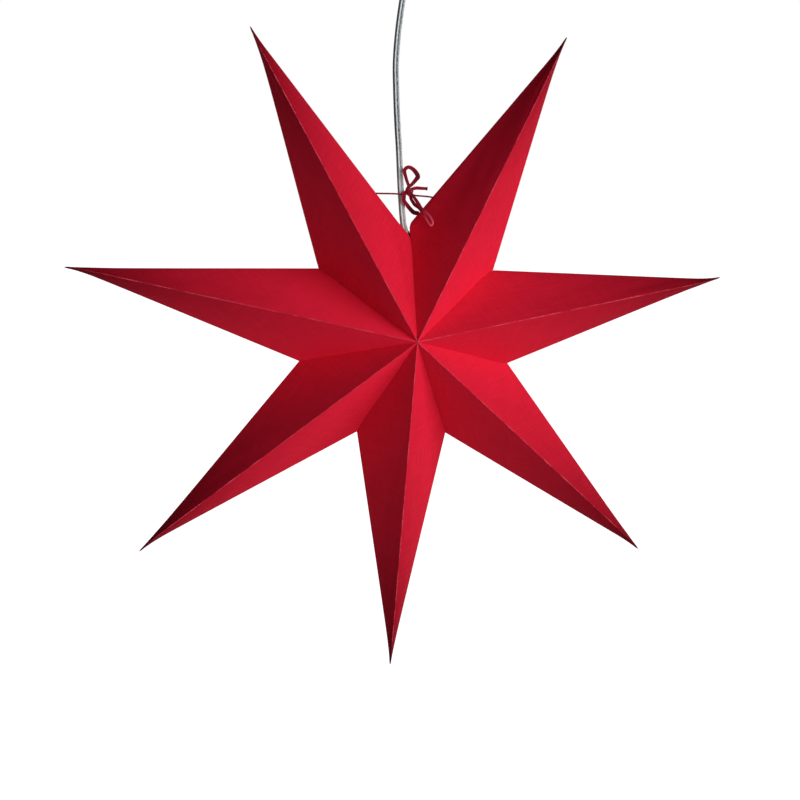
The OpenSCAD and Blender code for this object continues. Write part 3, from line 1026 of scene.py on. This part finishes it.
    def swell(self, s: np.ndarray, t: np.ndarray, k: int) -> np.ndarray:
        """How far a facet stands out: a smooth bow, with a few long soft ripples on it.

        The bow is 4 t (1 - t) sin(pi s); the ripples are slow sines in s and t, held to
        nothing at the folds.

        Args:
            s: Shares of the way from the tip to the base, one per row.
            t: Shares across the facet, one per column.
            k: The facet.

        Returns:
            The swell at each row and column.
        """
        hump = (4 * t * (1 - t))[None, :] * np.sin(pi * s)[:, None]
        draw = np.random.default_rng(self.sheet.seed * 10 + k)
        ripple = np.zeros_like(hump)
        for _ in range(self.ripples):
            along, across = draw.uniform(1.0, 5.0), draw.uniform(0.4, 2.0)
            phase = draw.uniform(0, 2 * pi, 2)
            ripple += np.sin(2 * pi * along * s + phase[0])[:, None] * np.sin(
                2 * pi * across * t + phase[1]
            )
        fade = (4 * t * (1 - t))[None, :] ** 0.7 * (np.sin(pi * s) ** 0.5)[:, None]
        return self.bow * hump + self.ripple * 0.5 * ripple * fade

    def facet(self, k: int, inner: bool, s: np.ndarray, t: np.ndarray) -> np.ndarray:
        """The points of one face of a facet, rows from the tip to the base.

        Args:
            k: The facet.
            inner: Whether it is the paper's inner face.
            s: Shares of the way from the tip to the base.
            t: Shares across.

        Returns:
            Rows by columns by 3.
        """
        tip = self.inner_tip if inner else self.tip
        corners = self.inner_corners if inner else self.corners
        base = self.base_line(corners, k, t)
        flat = tip + s[:, None, None] * (base - tip)[None, :, :]
        lift = self.swell(s, t, k)[..., None] * self.normals[k]
        return self.bend(flat - lift + self.drawn_in(s, t, k))

    def flat_map(self, k: int, s: np.ndarray, t: np.ndarray) -> np.ndarray:
        """Where a facet lies on the flat sheet, in metres from the tip.

        The sheet is unrolled about its tip: the distance from the tip stays, and the
        angles at the tip add up from the front fold to either side.

        Args:
            k: The facet.
            s: Shares of the way from the tip to the base.
            t: Shares across.

        Returns:
            Rows by columns by 2.
        """
        rays = self.corners - self.tip
        way = unit(rays)
        angle = np.arccos(np.clip((way * np.roll(way, -1, axis=0)).sum(axis=1), -1, 1))
        start = {0: 0.0, 1: angle[0], 2: -angle[3] - angle[2], 3: -angle[3]}[k]
        a, b = rays[k], rays[(k + 1) % 4]
        edge = a + (b - a) * t[:, None]
        turn = start + np.arccos(np.clip(unit(edge) @ unit(a), -1, 1))
        reach = s[:, None] * np.linalg.norm(edge, axis=1)[None, :]
        return np.stack([reach * np.cos(turn), reach * np.sin(turn)], axis=-1)

    def fold_distance(self, k: int, s: np.ndarray, t: np.ndarray) -> np.ndarray:
        """Distance of each point of a facet from its nearer fold.

        The side folds count as three times as far as they are, so their pale line is thinner.

        Args:
            k: The facet.
            s: Shares of the way from the tip to the base.
            t: Shares across.

        Returns:
            Rows by columns.
        """
        a, b = self.corners[k] - self.tip, self.corners[(k + 1) % 4] - self.tip
        edge = a + (b - a) * t[:, None]
        rubbed = (1.0, 3.0) if k in (0, 2) else (3.0, 1.0)
        gap = [
            less * np.linalg.norm(np.cross(edge, unit(ray)), axis=1)
            for less, ray in zip(rubbed, (a, b))
        ]
        return s[:, None] * np.minimum(*gap)[None, :]

    def flap_width(self, k: int, t: np.ndarray) -> np.ndarray:
        """Width of the glue flap along a facet's base.

        It is the model's, but for the free flap, which starts nearer to the apex.

        Args:
            k: The facet.
            t: Shares across.

        Returns:
            The width at each share: constant between the ends, or, on the flap left free
            at the slot, growing from close to the apex and rounded off at the top.
        """
        facet = Facet(k)
        out = t if facet in (Facet.FRONT_AFTER, Facet.BACK_BEFORE) else 1 - t
        if self.second and facet in (Facet.BACK_BEFORE, Facet.FRONT_BEFORE):
            return np.zeros_like(t)
        if self.first and facet in (Facet.FRONT_AFTER, Facet.BACK_AFTER):
            round_end = np.sin(pi / 2 * np.clip((1 - out) / self.free_round, 0, 1))
            grow = np.clip((out - self.free_start) / self.free_rise, 0, 1)
            return self.flap_w * np.minimum(round_end, grow)
        rise = (out - self.flap_start) / self.flap_rise
        fall = (self.flap_end - out) / self.flap_fall
        return self.flap_w * np.clip(np.minimum(rise, fall), 0, 1)

    def flap_ways(self, k: int) -> tuple[np.ndarray, np.ndarray]:
        """Where a flap points from its crease, and which side its paper lies on."""
        c = self.corners
        crease = unit(c[(k + 1) % 4] - c[k])
        mid = 0.5 * (c[k] + c[(k + 1) % 4])
        if self.first and k < 2:
            toward = bearing(self.sheet.after - 90) - self.free_dip * unit(mid)
            way = unit(toward - (toward @ crease) * crease)
            return way, unit(-mid + (mid @ way) * way)
        way = unit(-mid + (mid @ crease) * crease)
        return way, self.sides[0 if k < 2 else 1]

    def build(self) -> bpy.types.Object:
        """Makes the folded sheet with its finishes.

        Returns:
            The piece, which stands for its solid.
        """
        surface = Surface()
        spread = np.linspace(self.first_row, 1.0, self.rows) ** self.row_power
        s = np.concatenate([[0.0], spread])
        t = 0.5 - 0.5 * np.cos(pi * np.linspace(0, 1, self.columns + 1))
        for k in range(4):
            flat = self.flat_map(k, s, t)
            weights = {
                "fold": self.fold_distance(k, s, t),
                "along": np.repeat(s[:, None], len(t), axis=1),
            }
            outer = self.facet(k, False, s, t) + STAR_MIDDLE
            inner = self.facet(k, True, s, t) + STAR_MIDDLE
            surface.grid(outer, flat, weights)
            surface.grid(inner, flat, weights, finish=1, flip=True)
            width = self.flap_width(k, t)[:, None]
            way, under = self.flap_ways(k)
            top = self.base_line(self.corners, k, t) + width * way + STAR_MIDDLE
            keep = width > 0
            low = np.where(keep, top + self.paper * under, inner[-1])
            top = np.where(keep, top, outer[-1])
            edge_flat = np.stack([flat[-1], flat[-1] + unit(flat[-1]) * width])
            faint = {key: np.repeat(w[-1:], 2, axis=0) for key, w in weights.items()}
            # This weight marks the free flap at the slot for its painted light.
            faint["rubbed"] = np.full((2, len(t)), float(self.first and k < 2))
            surface.grid(np.stack([outer[-1], top]), edge_flat, faint)
            surface.grid(np.stack([top, low]), edge_flat, faint, finish=2)
            surface.grid(np.stack([low, inner[-1]]), edge_flat[::-1], faint, finish=1)
        piece = surface.build(f"folded_{self.sheet.node}", crease=16.0)
        if self.sheet.hole_up:
            self.punch(piece)
        outside = self.finish.outside(
            f"paper_{self.sheet.node}", self.sheet.grain, float(self.sheet.seed), self.sheet.painted_shading
        )
        for material in (outside, outside, self.finish.edge(f"edge_{self.sheet.node}")):
            piece.data.materials.append(material)
        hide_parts(self.sheet.node)
        return piece

    def punch(self, piece: bpy.types.Object) -> None:
        """Cuts the tie's round hole through the sheet, with a rod across the paper.

        Args:
            piece: The folded sheet.
        """
        place, inward = self.hole_place()
        rod = bpy.data.meshes.new("punch")
        shape = bmesh.new()
        turn = Vector(inward).to_track_quat("Z", "Y").to_matrix().to_4x4()
        bmesh.ops.create_cone(
            shape, cap_ends=True, segments=32, radius1=self.hole / 2, radius2=self.hole / 2,
            depth=self.punch_depth, matrix=Matrix.Translation(place + STAR_MIDDLE) @ turn,
        )
        shape.to_mesh(rod)
        shape.free()
        tool = in_scene("punch", rod)
        cut = piece.modifiers.new("hole", "BOOLEAN")
        cut.operation, cut.solver, cut.object = "DIFFERENCE", "EXACT", tool
        graph = bpy.context.evaluated_depsgraph_get()
        solid = piece.data
        piece.data = bpy.data.meshes.new_from_object(
            piece.evaluated_get(graph), preserve_all_data_layers=True, depsgraph=graph
        )
        piece.modifiers.clear()
        bpy.data.objects.remove(tool)
        for spent in (rod, solid):
            bpy.data.meshes.remove(spent)
        piece.data.name = piece.name

    def hole_place(self) -> tuple[np.ndarray, np.ndarray]:
        """The middle of the tie's hole and the inward normal there."""
        corner = self.corners[1 if self.first else 3]
        up = unit(self.tip - corner)
        back = np.array([0.0, self.half_depth, 0.0]) - corner
        back = unit(back - (back @ up) * up)
        place = corner + self.sheet.hole_up * up + self.hole_back * back
        return place, self.normals[1 if self.first else 2]


KNOT = np.array([3.0, -5.0, 130.0])
# The ribbons' routes from the knot, in millimetres: the model's, but for the end of the right
# one, which follows the photograph.
LEFT_ROUTE = (
    (-22, 5.6, -1.5), (-13, 2.5, -1.7), (-6, 1, -2.2), (-1.5, 0.8, -1.8), (1.2, 0, -4),
    (2.2, -1, -7), (5.3, -1.2, -11.6), (9.3, -2.2, -15.1), (13.4, -9.5, -23),
    (16, -15.5, -29), (18, -16.8, -30.3), (19.3, -15.8, -27.2), (17, -10, -21.4),
    (11.5, -4, -15.1), (8.2, -3, -10.5), (3, -2.6, -3), (0.2, -2.4, 0.4), (2.2, -1, 2.2),
    (6.8, 0.4, 3.4), (12, 0.8, 3.2), (17.5, 1, 2.9),
)
RIGHT_ROUTE = (
    (19, 6.3, -4.2), (14, 4.2, -3.8), (7, 3, -3.3), (2, 2.4, -2.4), (-1.2, 2.6, -0.2),
    (-0.6, 2.4, 3.4), (3.3, 1.6, 7), (7, 1.6, 11.3), (8.6, 1.6, 14.4), (5.1, 1.4, 19.6),
    (0.4, 1, 22.3), (-3, 0.8, 20.8), (-3.8, 0.6, 18), (-2.2, 0.2, 11.5), (-0.1, -0.6, 4.5),
    (-1.2, -0.8, 1.4), (-3.9, -0.6, -1.2), (-4.4, -0.2, -4.5), (-4.2, 0.8, -8.1),
    (-1, 2, -12.3), (2.6, 4, -16.2), (5.6, 5, -18.6), (10.4, 6.4, -19.6),
)
# The ribbons' widths in millimetres, and how dark they are painted (up to 1), painted shade where
# they turn their backs and painted shadow where they are cut, or how pale (down to -1), a painted
# highlight where they show their edge, each at a place counted in route points from the stopper.
LEFT_WIDTHS = (
    (0, 1.5), (5, 1.6), (7, 2.6), (9, 3.3), (10, 2.7), (11.3, 1.5), (14, 1.5), (15.5, 1.8),
    (17, 3.2), (19, 2.6), (21, 3.2), (22.6, 2.8), (23, 3.7),
)
LEFT_DARK = (
    (0, 0.1), (5, 0.1), (7, 0.3), (9, 0.45), (10.6, 0), (11.6, -0.7), (14, -0.9), (15.4, -0.4),
    (16, 0.2), (18, 0.45), (20, 0.3), (21, 0), (22.4, 0), (22.9, 0.85), (23, 0.9),
)
RIGHT_WIDTHS = (
    (0, 1.5), (5, 1.6), (7, 2.8), (9, 3.2), (10.6, 4.4), (11.6, 4.2), (13, 3.4), (15, 3.4),
    (17, 2.8), (20, 3.6), (22, 3.8), (25, 4.1),
)
RIGHT_DARK = (
    (0, 0.1), (5, 0.1), (8, 0.2), (9.6, 0.3), (10.6, 0.75), (11.6, 0.55), (13, 0.15), (15, 0.2),
    (17, 0.4), (19, 0.2), (21.9, 0.1), (22.9, 0.75), (25, 0.95),
)
# The lamp cord's route from the lampholder to the ceiling, heights from the star's middle.
CORD_ROUTE = (
    (0, 0, 72), (0, 0, 84), (0, 0, 95), (-1.2, 0, 101), (-2.2, 0, 111), (-3.6, 0, 132),
    (-4.4, 0, 149), (-5.2, 0, 168), (-6.7, 0, 193), (-7.7, 0, 220), (-8, 0, 247),
    (-5.8, 0, 275), (-2.2, 0, 301), (0, 0, 313), (0, 0, 323), (0, 0, 332),
)


def carried(
    path: np.ndarray, side: np.ndarray, deep: np.ndarray, across: np.ndarray, up: np.ndarray
) -> np.ndarray:
    """A closed profile carried along a path, closed at both ends.

    Point (i, j) is path_i + across_ij side_i + up_ij deep_i, with a last column on the
    first and with both end rings drawn in to their middle.

    Args:
        path: The path's points.
        side: Unit vectors across, one per point.
        deep: Unit vectors through, one per point.
        across: The profile's places along side, rows by columns or one row.
        up: The profile's places along deep.

    Returns:
        Rows by columns by 3.
    """
    across = np.broadcast_to(across, (len(path), across.shape[-1]))
    up = np.broadcast_to(up, across.shape)
    rings = path[:, None] + across[..., None] * side[:, None] + up[..., None] * deep[:, None]
    rings = np.concatenate([rings, rings[:, :1]], axis=1)
    ends = [np.repeat(p[None, None], rings.shape[1], axis=1) for p in (path[0], path[-1])]
    return np.concatenate([ends[0], rings, ends[1]])


@dataclass
class Ribbon:
    """One half of the tie: a narrow ribbon from its stopper knot to its cut end."""

    side: Side
    point: FoldedPoint
    route: Sequence[Sequence[float]]
    widths: Sequence[tuple[float, float]]
    dark: Sequence[tuple[float, float]]
    width: float = 2.8 * MM
    thickness: float = 0.75 * MM
    stopper_r: float = 2.2 * MM
    seat_gap: float = 0.3 * MM
    lead_out: float = 1.5 * MM
    steps: int = 9
    columns: int = 24

    def start(self) -> np.ndarray:
        """The first three points, from the stopper out through the hole."""
        place, inward = self.point.hole_place()
        deep = self.point.paper + self.seat_gap + self.stopper_r
        return np.array([place + deep * inward, place, place - self.lead_out * inward])

    def path(self) -> np.ndarray:
        """The ribbon's middle line, in the frame."""
        rest = (np.array(self.route) + KNOT) * MM
        return smooth_route(np.vstack([self.start(), rest]), self.steps) + STAR_MIDDLE

    def build(self, material: bpy.types.Material) -> bpy.types.Object:
        """Makes the ribbon, a flat band with thick rolled edges, and its stopper knot.

        The profile is (w/2 cos a, h/2 sin a (0.55 + 0.45 cos^2 a)); it turns its broad
        side to the front. Its width and its painted shade run evenly between their listed places.

        Args:
            material: The ribbon's finish.

        Returns:
            The piece, which stands for its solid.
        """
        path = self.path()
        side, deep = broad_to_front(unit(np.gradient(path, axis=0)))
        at = np.linspace(0, len(self.route) + 2, len(path))
        width = np.interp(at, *np.transpose(self.widths)) * MM
        dark = np.interp(at, *np.transpose(self.dark))
        angle = np.linspace(0, 2 * pi, self.columns, endpoint=False)
        across = 0.5 * width[:, None] * np.cos(angle)
        up = 0.5 * self.thickness * np.sin(angle) * (0.55 + 0.45 * np.cos(angle) ** 2)
        points = carried(path, side, deep, across, up[None])
        over = np.cos(np.append(angle, 0.0))
        flat = band_map(doubled_ends(travelled(path)), over)
        # Painted shade and highlight along the ribbon, as a weight.
        cut = np.repeat(doubled_ends(dark)[:, None], len(over), axis=1)
        surface = Surface()
        surface.grid(points, flat, {"cut": cut})
        surface.grid(*self.stopper(path[0]))
        piece = surface.build(f"ribbon_{self.side.name.lower()}", crease=70.0)
        piece.data.materials.append(material)
        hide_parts(f"tie_ribbon_{self.side.name.lower()}")
        return piece

    def stopper(self, middle: np.ndarray) -> tuple[np.ndarray, np.ndarray]:
        """A small round knot of ribbon: a ball whose radius ripples with its turns.

        Args:
            middle: The knot's middle.

        Returns:
            The grid of its points and its flat map.
        """
        rise = np.linspace(-pi / 2, pi / 2, 15)[:, None]
        turn = np.linspace(0, 2 * pi, 25)[None, :]
        radius = self.stopper_r * (0.93 + 0.07 * np.cos(3 * turn + 4 * rise)) * np.ones_like(rise)
        ball = np.stack(
            [
                radius * np.cos(rise) * np.cos(turn),
                radius * np.cos(rise) * np.sin(turn),
                radius * np.sin(rise) * np.ones_like(turn),
            ],
            axis=-1,
        )
        flat = np.stack(np.broadcast_arrays(turn * 2 * MM, 0.9 * np.sin(4 * rise)), axis=-1)
        return middle + ball, flat


@dataclass
class TieKnot:
    """The small knot where the two ribbons cross in front of the cord."""

    middle: tuple[float, float, float] = (0.6, -1.2, -0.3)
    size: float = 0.95 * MM
    width: float = 1.7 * MM
    thickness: float = 0.9 * MM
    rows: int = 120
    columns: int = 16

    def build(self, material: bpy.types.Material) -> bpy.types.Object:
        """Makes the knot: a band along (sin a + 2 sin 2a, -0.7 sin 3a, cos a - 2 cos 2a).

        Args:
            material: The ribbon's finish.

        Returns:
            The piece.
        """
        a = np.linspace(0, 2 * pi, self.rows)
        path = self.size * np.stack(
            [np.sin(a) + 2 * np.sin(2 * a), -0.7 * np.sin(3 * a), np.cos(a) - 2 * np.cos(2 * a)],
            axis=-1,
        )
        path += (KNOT + np.array(self.middle)) * MM + STAR_MIDDLE
        along = np.gradient(path, axis=0)
        along[0] = along[-1] = path[1] - path[-2]
        side, deep = broad_to_front(unit(along))
        turn = np.linspace(0, 2 * pi, self.columns + 1)
        across, up = 0.5 * self.width * np.cos(turn), 0.5 * self.thickness * np.sin(turn)
        points = path[:, None] + across[:, None] * side[:, None] + up[:, None] * deep[:, None]
        surface = Surface()
        surface.grid(points, band_map(travelled(path), np.cos(turn)))
        piece = surface.build("tie_knot", crease=70.0)
        piece.data.materials.append(material)
        return piece


@dataclass
class LampCord:
    """Flat two-core cord: a figure-of-eight sheath, its finish showing the strands under it."""

    width: float = 5.8 * MM
    thickness: float = 2.9 * MM
    # Half the thickness at the groove, as a share of half the thickness at the lobes.
    groove: float = 0.62
    # Height above the star's middle where the cord leaves the lampholder.
    exit_height: float = 95 * MM
    steps: int = 14
    columns: int = 40

    def path(self) -> np.ndarray:
        """The cord's middle line, in the frame."""
        return smooth_route(np.array(CORD_ROUTE) * MM, self.steps) + STAR_MIDDLE

    def sheath(self, material: bpy.types.Material) -> bpy.types.Object:
        """Makes the sheath: two round lobes with a shallow groove between them.

        At an angle a the profile is (w/2 x, h/2 y), where x is cos a to the power 0.8 with its
        sign kept, and y has the sign of sin a and the size sqrt(1 - (2 |x| - 1)^2), or 0.62 if
        that is more and |x| is under 0.5.

        Args:
            material: The sheath's finish.

        Returns:
            The piece, which stands for the cord's solid.
        """
        path = self.path()
        side, deep = broad_to_front(unit(np.gradient(path, axis=0)))
        angle = np.linspace(0, 2 * pi, self.columns, endpoint=False)
        x = np.sign(np.cos(angle)) * np.abs(np.cos(angle)) ** 0.8
        lobe = np.sqrt(np.clip(1 - (2 * np.abs(x) - 1) ** 2, 0, 1))
        y = np.sign(np.sin(angle)) * np.maximum(lobe, self.groove * (np.abs(x) < 0.5))
        points = carried(
            path, side, deep, 0.5 * self.width * x[None], 0.5 * self.thickness * y[None]
        )
        surface = Surface()
        surface.grid(points, band_map(doubled_ends(travelled(path)), -np.append(x, x[0])))
        piece = surface.build("cord_sheath", crease=60.0)
        piece.data.materials.append(material)
        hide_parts("lamp_cord")
        return piece

    def build(self, finish: bpy.types.Material) -> None:
        """Args:
            finish: The sheath's finish.
        """
        outer = self.sheath(finish)
        path = self.path()
        LOG.info("cord_sheath: %.3f m", path_length(path))


class PaperStar:
    """The seven folded sheets and the tie that holds the star shut round the cord."""

    def __init__(self) -> None:
        """Lays out the points."""
        self.points = [FoldedPoint(sheet) for sheet in SHEETS]

    def build_tie(self) -> None:
        material = RibbonFinish().material()
        knot = TieKnot().build(material)
        for ribbon in (
            Ribbon(Side.LEFT, self.points[0], LEFT_ROUTE, LEFT_WIDTHS, LEFT_DARK),
            Ribbon(Side.RIGHT, self.points[1], RIGHT_ROUTE, RIGHT_WIDTHS, RIGHT_DARK),
        ):
            piece = ribbon.build(material)
            path = ribbon.path()
            place, _ = ribbon.point.hole_place()
            LOG.info("%s: %.3f m", piece.name, path_length(path))

    def build_points(self) -> None:
        """Makes the folded sheets."""
        for point in self.points:
            piece = point.build()
            LOG.info("%s: %d faces", piece.name, len(piece.data.polygons))


class LampAndFitting:
    """The lampholder, the bulb and the ceiling fitting, which keep their solids."""

    def __init__(self) -> None:
        """Makes the finishes."""
        white = MouldedFinish(
            "white_plastic", (0.82, 0.81, 0.77), (0.78, 0.76, 0.7), 0.32, 1500.0, 0.00001, coat=0.2
        )
        ceramic = MouldedFinish(
            "unglazed_ceramic", (0.78, 0.76, 0.7), (0.7, 0.67, 0.6), 0.75, 2400.0, 0.00003
        )
        opal = MouldedFinish(
            "opal_glass", (0.9, 0.89, 0.86), (0.86, 0.85, 0.8), 0.18, 900.0, 0.000004,
            coat=0.3, transmission=0.25,
        )
        brass = MetalFinish(Metal.BRASS, (0.72, 0.53, 0.24), (0.55, 0.38, 0.16), 0.35)
        steel = MetalFinish(Metal.STEEL, (0.62, 0.63, 0.65), (0.5, 0.51, 0.53), 0.4)
        plain, fired, glass = white.material(), ceramic.material(), opal.material()
        yellow, grey = brass.material(), steel.material()
        self.dress = {
            "lampholder_cap": plain,
            "lampholder_skirt": plain,
            "ceiling_cup": plain,
            "ceiling_cord_grip": plain,
            "contact_carrier": fired,
            "terminal_block": fired,
            "contact_sleeve": yellow,
            "centre_contact": yellow,
            "bulb_base": yellow,
            "bulb_foot": yellow,
            "bulb_glass": glass,
            "ceiling_strap": grey,
        }

    def build(self) -> None:
        """Gives each solid its finish."""
        for name, material in self.dress.items():
            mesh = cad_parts[name].data
            mesh.materials.clear()
            mesh.materials.append(material)
            LOG.info("%s: %s", name, material.name)


@dataclass
class Studio:
    """The camera, the pale floor and the soft light."""

    distance: float = 1.3
    yaw: float = 9.64
    elevation: float = 4.69
    lens: float = 63.62
    shift: tuple[float, float] = (-0.005775, -0.0825)
    floor_z: float = -1.25
    floor_size: float = 60.0
    sky: float = 0.04
    key: float = 3.85
    floor_glow: float = 0.24
    key_angle: float = 60.0
    key_from: tuple[float, float, float] = (0.7, -0.7, 0.05)

    def camera(self) -> None:
        """Sets the camera on a line from the star's middle, to the left and a little above."""
        data = bpy.data.cameras.new("camera")
        data.lens = self.lens
        data.sensor_width = 36.0
        data.shift_x, data.shift_y = self.shift
        data.clip_start, data.clip_end = 0.05, 100.0
        camera = in_scene("camera", data)
        yaw, rise = radians(self.yaw), radians(self.elevation)
        away = np.array([-sin(yaw) * cos(rise), -cos(yaw) * cos(rise), sin(rise)])
        camera.location = STAR_MIDDLE + self.distance * away
        camera.rotation_euler = Euler((pi / 2 - rise, 0.0, -yaw))
        bpy.context.scene.camera = camera

    def light(self) -> None:
        """One broad soft key from the front right, and an even sky."""
        data = bpy.data.lights.new("key", "SUN")
        data.energy = self.key
        data.angle = radians(self.key_angle)
        key = in_scene("key", data)
        towards = np.array(self.key_from)
        rise = np.arcsin(towards[2] / np.linalg.norm(towards))
        key.rotation_euler = Euler((pi / 2 - rise, 0.0, np.arctan2(towards[0], -towards[1])))
        world = bpy.data.worlds.new("sky")
        bpy.context.scene.world = world
        world.use_nodes = True
        world.node_tree.nodes.clear()
        n = Nodes(world.node_tree)
        strength = n.math("MULTIPLY_ADD", self.seen(n), 1.0 - self.sky, self.sky)
        glow = n.add("ShaderNodeBackground", {"Color": (1, 1, 1, 1), "Strength": strength})
        n.add("ShaderNodeOutputWorld", {"Surface": glow.outputs[0]})

    @staticmethod
    def seen(n: Nodes) -> bpy.types.NodeSocket:
        """1 where the camera, a gloss or glass looks, and 0 for the light itself."""
        path = n.add("ShaderNodeLightPath").outputs
        gloss = n.math("MAXIMUM", path["Is Camera Ray"], path["Is Glossy Ray"])
        return n.math("MAXIMUM", gloss, path["Is Transmission Ray"])

    def floor(self) -> None:
        """A pale floor that keeps the shadow and meets the white of the sky."""
        mesh = bpy.data.meshes.new("floor")
        half = self.floor_size / 2
        corners = [(-half, -half), (half, -half), (half, half), (-half, half)]
        mesh.from_pydata([(x, y, self.floor_z) for x, y in corners], [], [(0, 1, 2, 3)])
        in_scene("floor", mesh)
        material, n, shader = new_material("floor")
        glow = n.math("MULTIPLY_ADD", self.seen(n), 1.0 - self.floor_glow, self.floor_glow)
        n.put(shader, {
            "Base Color": (0.8, 0.8, 0.8, 1), "Roughness": 0.9, "Specular IOR Level": 0.0,
            "Emission Color": (1, 1, 1, 1), "Emission Strength": glow,
        })
        mesh.materials.append(material)

    def build(self) -> None:
        """Sets up the view, the light and the floor."""
        scene = bpy.context.scene
        scene.view_settings.view_transform = "Standard"
        self.light()
        self.floor()


def main() -> None:
    """Builds the camera and the cords first, then the star, the lamp and the studio."""
    logging.basicConfig(level=logging.INFO, format="%(name)s: %(message)s")
    studio = Studio()
    studio.camera()
    LampCord().build(SheathFinish().material())
    star = PaperStar()
    star.build_tie()
    star.build_points()
    LampAndFitting().build()
    studio.build()


if __name__ == "__main__":
    main()
